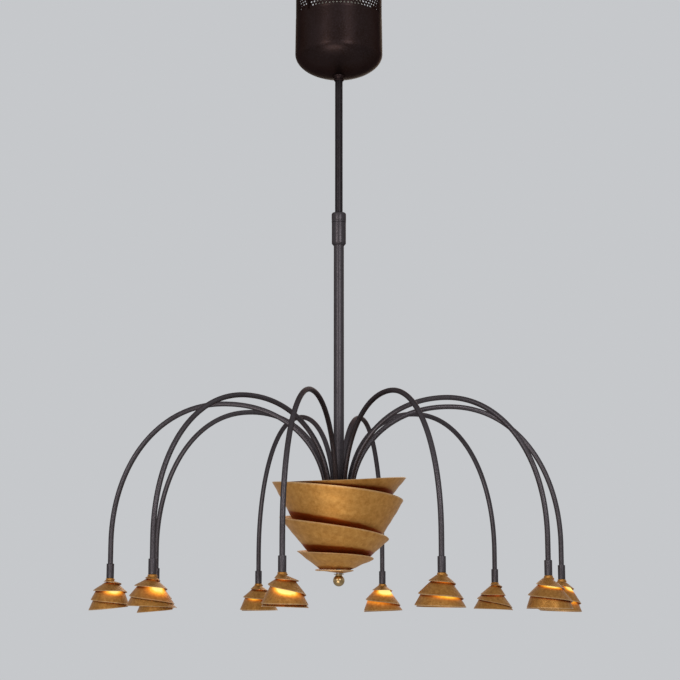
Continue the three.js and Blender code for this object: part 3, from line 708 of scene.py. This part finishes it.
def wound_ribbon(knots, thickness, start, steps_per_turn, columns, ripple, dent, seed):
    """A strip wound round the axis through knots of turn, upper edge radius and height, and lower edge
    radius and height. Its edges wander by ripple and its face by dent. Gives vertices, faces, and three
    readings for each vertex: its turn, its height over the turn below, its depth under the turn above."""
    first, last = knots[0][0], knots[-1][0]
    steps = round((last - first) * steps_per_turn)
    edge_waves, face_waves, dent_size, far_off = 2.3, 5.2, 14 * MM, 1.0

    def edges(turn):
        upper_radius, upper_z, lower_radius, lower_z = spline(knots, turn)
        upper, lower = Vector((upper_radius, upper_z)), Vector((lower_radius, lower_z))
        across = (lower - upper).normalized()
        wander = Vector((turn * edge_waves, seed * 7.1, 0))
        upper -= across * ripple * 0.6 * noise.noise(wander)
        lower_ripple = min(ripple, (lower - upper).length * 0.1)
        lower += across * lower_ripple * noise.noise(wander + Vector((0, 0, 9)))
        return upper, lower

    vertices, readings = [], []
    for step in range(steps + 1):
        turn = first + (last - first) * step / steps
        upper, lower = edges(turn)
        inward = Vector(((lower - upper).y, (upper - lower).x)).normalized()
        below = edges(turn + 1)[0].y if turn + 1 <= last else upper.y - far_off
        above = edges(turn - 1)[1].y if turn - 1 >= first else lower.y - far_off
        angle = start + 2 * math.pi * turn
        layers = []
        for column in range(columns + 1):
            share = column / columns
            spot = Vector((turn * face_waves, share * (lower - upper).length / dent_size, seed * 3.7))
            layers.append(upper.lerp(lower, share) + inward * (dent * noise.noise(spot)))
        for point in layers + [point + inward * thickness for point in reversed(layers)]:
            vertices.append((point.x * math.cos(angle), point.x * math.sin(angle), point.y))
            readings.append((turn, point.y - below, above - point.y))
    ring = 2 * (columns + 1)
    faces = [tuple(reversed(range(ring))), tuple(range(steps * ring, (steps + 1) * ring))]
    for step in range(steps):
        for corner in range(ring):
            here, beside = step * ring + corner, step * ring + (corner + 1) % ring
            faces.append((here, beside, beside + ring, here + ring))
    return vertices, faces, readings


def mark(piece, name, values):
    """An attribute with these values on a piece's points, and 0 on the points past the last value."""
    rest = [0.0] * (len(piece.data.vertices) - len(values))
    piece.data.attributes.new(name, "FLOAT", "POINT").data.foreach_set("value", values + rest)


def gilt_finish(name, dark, middle, light, patch, glow=None):
    """Leaf laid by hand over red-brown: small patches and creases, painted shade in the gaps and painted
    highlights on the rims.
    """
    material, place = start_material(name)
    cloud = patches(place, patch, 4.0, 0.6)
    fleck = patches(place, patch * 0.2, 2.0)
    leaf = cloud.node("ShaderNodeValToRGB", {"stops": [(0.30, dark), (0.50, middle), (0.72, light)]}, {
        "Fac": cloud * 0.7 + fleck * 0.3})
    crease = place.node("ShaderNodeTexVoronoi", {"feature": "DISTANCE_TO_EDGE"}, {
        "Vector": place, "Scale": 1 / (patch * 1.8)})
    line = 1 - between(crease, 0.0, 0.045)
    # Painted shade: the strips are painted dark red-brown in the gaps between the turns, where shade falls
    gap = place.node("ShaderNodeAttribute", {"attribute_name": "gap"}, output="Fac")
    painted_gap_shade = between(gap + 0.9 * cloud, 0.65, 1.20)
    gap_shaded_colour = tint(painted_gap_shade, tint(line * 0.25, leaf, dark), (0.31, 0.062, 0.0065, 1))
    # Painted highlight: a pale line along the strips' edges, where they catch the light
    rim = place.node("ShaderNodeAttribute", {"attribute_name": "rim"}, output="Fac")
    colour = tint(rim * (0.15 + 0.8 * cloud), gap_shaded_colour, (0.76, 0.53, 0.29, 1))
    sockets = {
        "base_color": colour, "metallic": 0.88 + 0.10 * painted_gap_shade, "roughness": 0.38 + 0.20 * fleck,
        "normal": raised(fleck, 0.05 * MM, raised(cloud, 0.25 * MM)),
    }
    if glow:
        sockets.update(emission_color=glow(place, cloud), emission_strength=1.0)
    finish_material(place, **sockets)
    return material


def painted_leak_glow(place, cloud):
    """Painted glow of the bulb's light leaking out onto the strip, as emission from deep orange to pale
    yellow.
    """
    lit = place.node("ShaderNodeAttribute", {"attribute_name": "lit"}, output="Fac")
    return lit.node("ShaderNodeValToRGB", {"stops": [
        (0.0, (0, 0, 0, 1)), (0.25, (0.13, 0.024, 0.001, 1)), (0.5, (0.62, 0.165, 0.006, 1)),
        (0.8, (1.0, 0.58, 0.05, 1)), (1.0, (1.0, 0.88, 0.27, 1))]}, {"Fac": lit * (0.8 + 0.4 * cloud)})


shade_gold = gilt_finish(
    "shade_gold", (0.26, 0.104, 0.020, 1), (0.39, 0.175, 0.038, 1), (0.52, 0.265, 0.072, 1),
    5 * MM, painted_leak_glow)

# Radius and depth under the collar's top of each strip's lower edge, in millimetres, at every half turn
# from the right. The shades are wound by hand, so no two are alike, and the seventh starts at the left
shade_strips = [
    [(9, 3), (11.5, 8.5), (25.7, 12.8), (21.6, 17.8), (37.1, 34.6), (31.9, 47), (40.6, 50), (32, 51.8),
     (41.2, 54)],
    [(8.8, 2.5), (11.4, 5), (12.6, 9.7), (27.7, 16.6), (24.5, 22.9), (36.5, 33.2), (36.3, 46.5), (40.4, 49.5),
     (40.4, 52.5)],
    [(8.8, 2.5), (10.5, 5), (19.5, 8.6), (28.5, 20.2), (30.2, 23.4), (32.3, 36), (34.3, 46.2), (36.2, 55),
     (32.3, 48.5)],
    [(8.8, 3), (12, 6), (19.5, 11), (28.5, 21), (30.2, 31), (33.5, 43), (34.5, 49), (35.2, 58), (32.5, 51.5)],
    [(9, 3), (15.4, 10), (19.5, 13.5), (30, 25.5), (33, 35), (36, 50.4), (39, 52), (33, 52)],
    [(9, 3), (20, 11.5), (20, 13.2), (33.5, 30), (35.9, 42), (37, 52.4), (40.3, 51.5), (37, 54.4)],
    [(9, 3), (14.4, 7.8), (28, 22), (20.4, 25), (35, 30), (33, 48.5), (41.5, 49.5), (33.5, 52.5)],
    [(9, 3), (13, 8), (21.6, 16.8), (31, 30), (33.8, 42.7), (42.5, 52.8), (34.3, 56.9), (40, 54.5)],
    [(9.5, 4.5), (20.5, 13.2), (26.5, 21.8), (34.8, 31.2), (39, 42.6), (36.7, 51.5), (40, 54), (37, 53)],
    [(9, 3), (20.9, 11.8), (21.9, 17.2), (37, 31.2), (33.7, 40.5), (42.7, 49.2), (37.5, 53), (40, 51.5)],
]
turned_shade = 7

# Where the painted glow of each bulb's leaking light lies: turn of the strip, spread in turns, strength,
# reach in millimetres
shade_glows = [
    [(1.75, 0.12, 0.50, 3.0), (2.78, 0.12, 1.60, 9.0)],
    [(1.80, 0.10, 0.45, 3.0), (2.84, 0.13, 1.20, 14.0)],
    [(1.75, 0.10, 0.40, 3.0), (2.82, 0.11, 1.20, 8.0)],
    [(1.75, 0.10, 0.50, 3.0), (2.75, 0.10, 0.90, 7.0)],
    [(1.80, 0.10, 0.35, 3.0), (2.70, 0.09, 0.85, 5.0)],
    [(1.82, 0.17, 1.90, 11.0), (2.69, 0.18, 0.55, 9.0)],
    [(1.22, 0.08, 0.90, 2.5), (2.30, 0.06, 0.35, 3.0)],
    [(1.89, 0.11, 1.60, 7.5), (2.84, 0.08, 0.70, 7.0)],
    [(1.77, 0.17, 1.15, 4.0)],
    [(1.79, 0.15, 0.50, 2.8), (2.79, 0.13, 0.90, 5.5)],
]


def shade_knots(strip):
    """Knots of a shade's strip: each turn is tucked in behind the lower edge of the turn above."""
    collar_radius, least_radius = 6.6, 8.9
    tuck, clearance, overlap, least_width = 5, 2.6, 1.5, 2
    knots = []
    for index, (radius, depth) in enumerate(strip):
        upper_radius, upper_depth = collar_radius, 1.4 + 0.8 * index
        if index >= 2:
            radius_above, depth_above = strip[index - 2]
            _, upper_radius_above, upper_z_above, _, _ = knots[index - 2]
            upper_radius = max(least_radius, radius_above - tuck)
            slope = (depth_above + upper_z_above / MM) / (radius_above - upper_radius_above / MM)
            clear = depth_above - (radius_above - upper_radius) * slope + clearance * math.hypot(1, slope)
            upper_depth = min(depth - least_width, max(depth_above - overlap, clear))
        knots.append((index / 2, upper_radius * MM, -upper_depth * MM, radius * MM, -depth * MM))
    return knots


def light_at(number, turn, under):
    """Painted light on a shade's strip, from the glows in front and the like ones behind."""
    light = 0.0
    for glow_turn, spread, strength, reach in shade_glows[number - 1]:
        fading = (max(under, 0) / (reach * MM)) ** 2
        for place, share in ((glow_turn, 1.0), (glow_turn - 0.5, 0.8), (glow_turn + 0.5, 0.8)):
            light += share * strength * math.exp(-((turn - place) / spread) ** 2 - fading)
    return light


def make_shade(number):
    strip_sheet, steps_per_turn, columns = 0.8 * MM, 72, 12
    ripple, dent, shadow_depth = 0.7 * MM, 0.4 * MM, 6 * MM
    start = math.pi if number == turned_shade else 0
    knots = shade_knots(shade_strips[number - 1])
    vertices, faces, readings = wound_ribbon(
        knots, strip_sheet, start, steps_per_turn, columns, ripple, dent, number)
    # Painted light on the outside of the strip: the glow of the bulb's leaking light, painted shade just
    # under the turn above where no light leaks, and painted highlights along the lower edges
    lights, gap_shades, painted_edge_highlights = [], [], []
    for index, (turn, over, under) in enumerate(readings):
        corner = index % (2 * columns + 2)
        outside = corner <= columns
        light = light_at(number, turn, under) if outside and turn > 1 else 0.0
        shadow = max(0.0, 1 - max(under, 0) / shadow_depth) * max(0.0, 1 - 2 * light)
        lights.append(light)
        gap_shades.append(shadow if outside and 1 < turn < 3.2 else 0.0)
        painted_edge_highlights.append(float(corner in (columns, columns + 1)))
    inner, outer, bottom = 5.3 * MM, 7.3 * MM, -5.7 * MM
    collar = softened([(inner, bottom), (outer, bottom), (outer, 0), (inner, 0)], 0.5 * MM)
    collar_vertices, collar_faces = turned(collar, sides=48)
    faces += [tuple(index + len(vertices) for index in face) for face in collar_faces]
    vertices += collar_vertices
    centre = Vector((*holder_place(number), holder_shoulder - end_gap))
    shade = add_mesh(f"spiral_shade_{number}", [Vector(vertex) + centre for vertex in vertices], faces)
    mark(shade, "lit", lights)
    mark(shade, "gap", gap_shades)
    mark(shade, "rim", painted_edge_highlights)
    dress(shade, shade_gold, f"shade_{number}", f"shade_{number}")


for number in range(1, arm_count + 1):
    make_shade(number)


# Bulbs: small glass capsules with a white base and two wire pins, pushed up into the lampholders. They
# are lit, so the glass glows warm white.
def bulb_finish():
    material, place = start_material("bulb_glass")
    lit = place.node("ShaderNodeAttribute", {"attribute_name": "lit"}, output="Fac")
    cloud = patches(place, 3 * MM)
    colour = tint(lit, tint(cloud, (0.62, 0.60, 0.55, 1), (0.78, 0.76, 0.70, 1)), (1.0, 0.93, 0.80, 1))
    glow = tint(lit, (0, 0, 0, 1), tint(cloud, (1.0, 0.56, 0.20, 1), (1.0, 0.68, 0.32, 1)))
    finish_material(
        place, base_color=colour, roughness=0.12 + 0.3 * cloud, coat_weight=0.4,
        emission_color=glow, emission_strength=7.0)
    return material


bulb_glass = bulb_finish()


def pin(foot, length, radius, sides=12):
    """Vertices and faces of an upright pin."""
    turns = [2 * math.pi * side / sides for side in range(sides)]
    vertices = [
        foot + Vector((radius * math.cos(turn), radius * math.sin(turn), height))
        for height in (0, length) for turn in turns]
    faces = [
        (side, (side + 1) % sides, sides + (side + 1) % sides, sides + side) for side in range(sides)]
    return vertices, faces + [tuple(reversed(range(sides))), tuple(range(sides, 2 * sides))]


def make_bulb(number):
    centre = holder_place(number)
    low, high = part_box(f"bulb_{number}")
    radius, sides = 4.6 * MM, 32
    waist = radius * 0.86
    base_top = low.z + 27 * MM
    base_bottom = base_top - 4.5 * MM
    outline = [(0, low.z)]
    outline += ball_profile(radius, low.z + radius, 0.12, math.pi / 2, 8)
    outline += [(radius, base_bottom - 1 * MM), (waist, base_bottom - 0.3 * MM), (waist, base_bottom)]
    lit_points = (len(outline) - 1) * sides
    outline += [
        (radius, base_bottom + 0.2 * MM), (radius, base_top - 0.3 * MM), (radius - 0.3 * MM, base_top),
        (0, base_top)]
    vertices, faces = turned(outline, sides, centre, looped=False)
    # The glass is lit, with its tip, which is the last point but one, and the base isn't
    lights = [1.0] * lit_points + [0.0] * (len(vertices) - lit_points)
    lights[-2] = 1.0
    sunk, pin_radius, pin_offset = 1 * MM, 0.4 * MM, 2 * MM
    beside = Vector((math.cos(arm_angle(number)), math.sin(arm_angle(number)), 0))
    for way in (-1, 1):
        foot = Vector((*centre, base_top - sunk)) + beside * pin_offset * way
        pin_vertices, pin_faces = pin(foot, high.z - base_top + sunk, pin_radius)
        faces += [tuple(index + len(vertices) for index in face) for face in pin_faces]
        vertices += pin_vertices
    capsule = add_mesh(f"capsule_{number}", vertices, faces)
    mark(capsule, "lit", lights)
    dress(capsule, bulb_glass, f"bulb_{number}", f"bulb_{number}")


for number in range(1, arm_count + 1):
    make_bulb(number)


# Centre rod: a plain steel rod held in the hub, zinc-plated, which goes down through the bowl. Its lower
# end carries the finial, and the bowl on it.
rod_low, rod_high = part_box("centre_rod")
rod_radius = 5 * MM
rod_profile = softened([
    (0, rod_low.z), (rod_radius, rod_low.z), (rod_radius, rod_high.z), (0, rod_high.z),
], 0.5 * MM, looped=False)
rod = add_mesh("bowl_rod", *turned(rod_profile, 40, looped=False))
dress(rod, zinc_steel, "fixture", "centre_rod")


# Bowl: one long strip wound by hand into an open spiral that narrows downwards, each turn tucked into
# the one above. Gilded with leaf laid in small overlapping pieces, so its colour is mottled.
gold_leaf = gilt_finish(
    "gold_leaf", (0.42, 0.180, 0.035, 1), (0.56, 0.268, 0.063, 1), (0.69, 0.365, 0.100, 1), 9 * MM)

# Turn, then radius and height over the washer of the strip's upper edge, and the same of its lower edge.
# Radii and heights are in millimetres
bowl_strip = [
    (-0.45, 110, 157, 109, 154.5), (-0.25, 115, 155.6, 103, 139), (0, 120, 168.8, 81, 121),
    (0.5, 119, 161.7, 80.3, 93.2), (1, 114.5, 127.2, 69.3, 54), (1.5, 105.8, 99.2, 50.4, 33.5),
    (2, 88.7, 59.5, 47, 22.5), (2.5, 73.9, 38.9, 33.5, 8), (3, 61.5, 25.4, 21.2, 6.9),
    (3.5, 41.3, 5.6, 7.5, 2.4), (4, 25.4, 4.4, 6.7, 0.5), (4.2, 17, 2.6, 6.6, 0.1),
]
bowl_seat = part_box("bowl_washer")[1].z + end_gap
bowl_knots = [
    (turn, upper_radius * MM, upper_z * MM + bowl_seat, lower_radius * MM, lower_z * MM + bowl_seat)
    for turn, upper_radius, upper_z, lower_radius, lower_z in bowl_strip
]
bowl_sheet, bowl_ripple, bowl_dent, bowl_columns = 1.2 * MM, 1.2 * MM, 0.8 * MM, 24
bowl_vertices, bowl_faces, bowl_readings = wound_ribbon(
    bowl_knots, bowl_sheet, 0, 96, bowl_columns, bowl_ripple, bowl_dent, 0)
bowl = add_mesh("spiral_bowl", bowl_vertices, bowl_faces)

# Turn, and how high the painted shade in the gap reaches over the turn below there, in millimetres
gap_shade_heights = [
    (-0.45, 1), (-0.3, 3), (-0.2, 6), (-0.1, 12), (0.5, 14), (0.75, 12), (0.95, 8), (1.02, 5), (1.3, 9),
    (1.5, 14), (1.75, 13), (2, 10), (2.25, 7), (2.5, 4), (3, 3.5), (4.2, 3),
]


def gap_shade_share(turn, over):
    """Share of painted shade at a turn of the strip and a height over the turn below it."""
    right = next(index for index in range(1, len(gap_shade_heights)) if turn <= gap_shade_heights[index][0] + 0.001)
    (first, low), (last, high) = gap_shade_heights[right - 1], gap_shade_heights[right]
    reach = (low + (high - low) * (turn - first) / (last - first)) * MM
    return min(1.0, max(0.0, (reach + 3 * MM - over) / (6 * MM)))


bowl_ring = 2 * (bowl_columns + 1)
# Painted shade in the gaps between the bowl's turns, reaching higher where the strip is shaded more
mark(bowl, "gap", [gap_shade_share(turn, over) for turn, over, under in bowl_readings])
# Painted highlights along the upper edges of the bowl's strip
mark(bowl, "rim", [float(index % bowl_ring in (0, bowl_ring - 1)) for index in range(len(bowl_readings))])
dress(bowl, gold_leaf, "fixture", "bowl")


# Washer and finial: the bowl stands on a thin brass washer, which a turned and polished brass ball
# clamps from below on the rod's thread.
def brass_finish():
    material, place = start_material("polished_brass")
    cloud = patches(place, 6 * MM)
    fine = patches(place, 0.7 * MM, 2.0)
    colour = tint(cloud, (0.34, 0.22, 0.098, 1), (0.48, 0.33, 0.155, 1))
    finish_material(
        place, base_color=colour, metallic=1.0, roughness=0.17 + 0.12 * fine + 0.06 * cloud,
        normal=raised(fine, 0.02 * MM))
    return material


polished_brass = brass_finish()
washer_low, washer_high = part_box("bowl_washer")
washer_radius = 9 * MM
washer_profile = softened([
    (rod_hole, washer_low.z), (washer_radius, washer_low.z), (washer_radius, washer_high.z),
    (rod_hole, washer_high.z),
], 0.3 * MM)
washer = add_mesh("bowl_rest", *turned(washer_profile, 64))
dress(washer, polished_brass, "fixture", "bowl_washer")

finial_low, finial_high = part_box("finial_ball")
finial_radius = 10.25 * MM
finial_neck = 6 * MM
finial_shoulder = math.pi - math.asin(finial_neck / finial_radius)
finial_outline = [(0, finial_low.z)]
finial_outline += ball_profile(finial_radius, finial_low.z + finial_radius, 0.06, finial_shoulder, 26)
finial_outline += [
    (finial_neck, finial_high.z - 0.4 * MM), (finial_neck - 0.4 * MM, finial_high.z),
    (rod_hole, finial_high.z), (rod_hole, rod_low.z - end_gap), (0, rod_low.z - end_gap),
]
finial = add_mesh("finial_turned", *turned(finial_outline, 72, looped=False))
dress(finial, polished_brass, "fixture", "finial_ball")


# Studio: a pale floor far below, a plain pale surround, soft lights, and the camera at the place from
# which the lamp is seen a little from below.
def floor_finish():
    material, place = start_material("studio_floor")
    cloud = patches(place, 0.8)
    colour = tint(cloud, (0.74, 0.75, 0.76, 1), (0.80, 0.81, 0.82, 1))
    finish_material(place, base_color=colour, roughness=0.65 + 0.1 * cloud)
    return material


floor_side, floor_z = 25.0, -3.4
floor = add_mesh("studio_floor", [
    (-floor_side, -floor_side, floor_z), (floor_side, -floor_side, floor_z),
    (floor_side, floor_side, floor_z), (-floor_side, floor_side, floor_z)], [(0, 1, 2, 3)])
floor.data.materials.append(floor_finish())

world = bpy.data.worlds.new("studio")
bpy.context.scene.world = world
world.use_nodes = True
world.node_tree.nodes.clear()
air = Wire(world.node_tree)
ray = air.node("ShaderNodeLightPath", output="Is Camera Ray")
seen_indirectly = air.maths("MAXIMUM", ray.output("Is Glossy Ray"), ray.output("Is Transmission Ray"))
seen = air.maths("MAXIMUM", ray, seen_indirectly)
backdrop = air.node("ShaderNodeBackground", {}, {"Color": (0.565, 0.578, 0.598, 1), "Strength": 1.0})
glow = air.node("ShaderNodeBackground", {}, {"Color": (0.95, 0.97, 1.0, 1), "Strength": 0.50})
mixed = air.node("ShaderNodeMixShader", {}, {0: seen, 1: glow, 2: backdrop})
air.node("ShaderNodeOutputWorld", {}, {"Surface": mixed})


def add_softbox(name, place, size, watts, colour=(1, 1, 1), target=(0, 0, -0.95)):
    light = bpy.data.lights.new(name, "AREA")
    light.shape = "RECTANGLE"
    light.size, light.size_y = size
    light.energy = watts
    light.color = colour
    box = add_object(name, light)
    box.location = place
    box.rotation_euler = (Vector(target) - Vector(place)).to_track_quat("-Z", "Y").to_euler()


add_softbox("front left", (-1.63, -2.5, 0.1), (0.5, 1.2), 14, (1.0, 0.98, 0.97), (0, 0, -0.3))
add_softbox("front right", (1.2, -2.75, 0.1), (0.5, 1.2), 18, (0.95, 0.97, 1.0), (0, 0, -0.3))
add_softbox("low left", (-0.6, -2.2, -2.1), (1.9, 1.6), 27, (1.0, 0.98, 0.95))
add_softbox("back", (0.6, 2.6, 0.6), (1.8, 1.8), 14, (0.97, 0.98, 1.0))

lens = bpy.data.cameras.new("photo")
lens.sensor_width = 36
lens.lens = 88.13
camera = add_object("photo_camera", lens)
camera.location = (0.0021, -2.965, -1.156)
camera.rotation_euler = (math.radians(90 + 9.66), 0, 0)
bpy.context.scene.camera = camera
bpy.context.scene.view_settings.view_transform = "Standard"
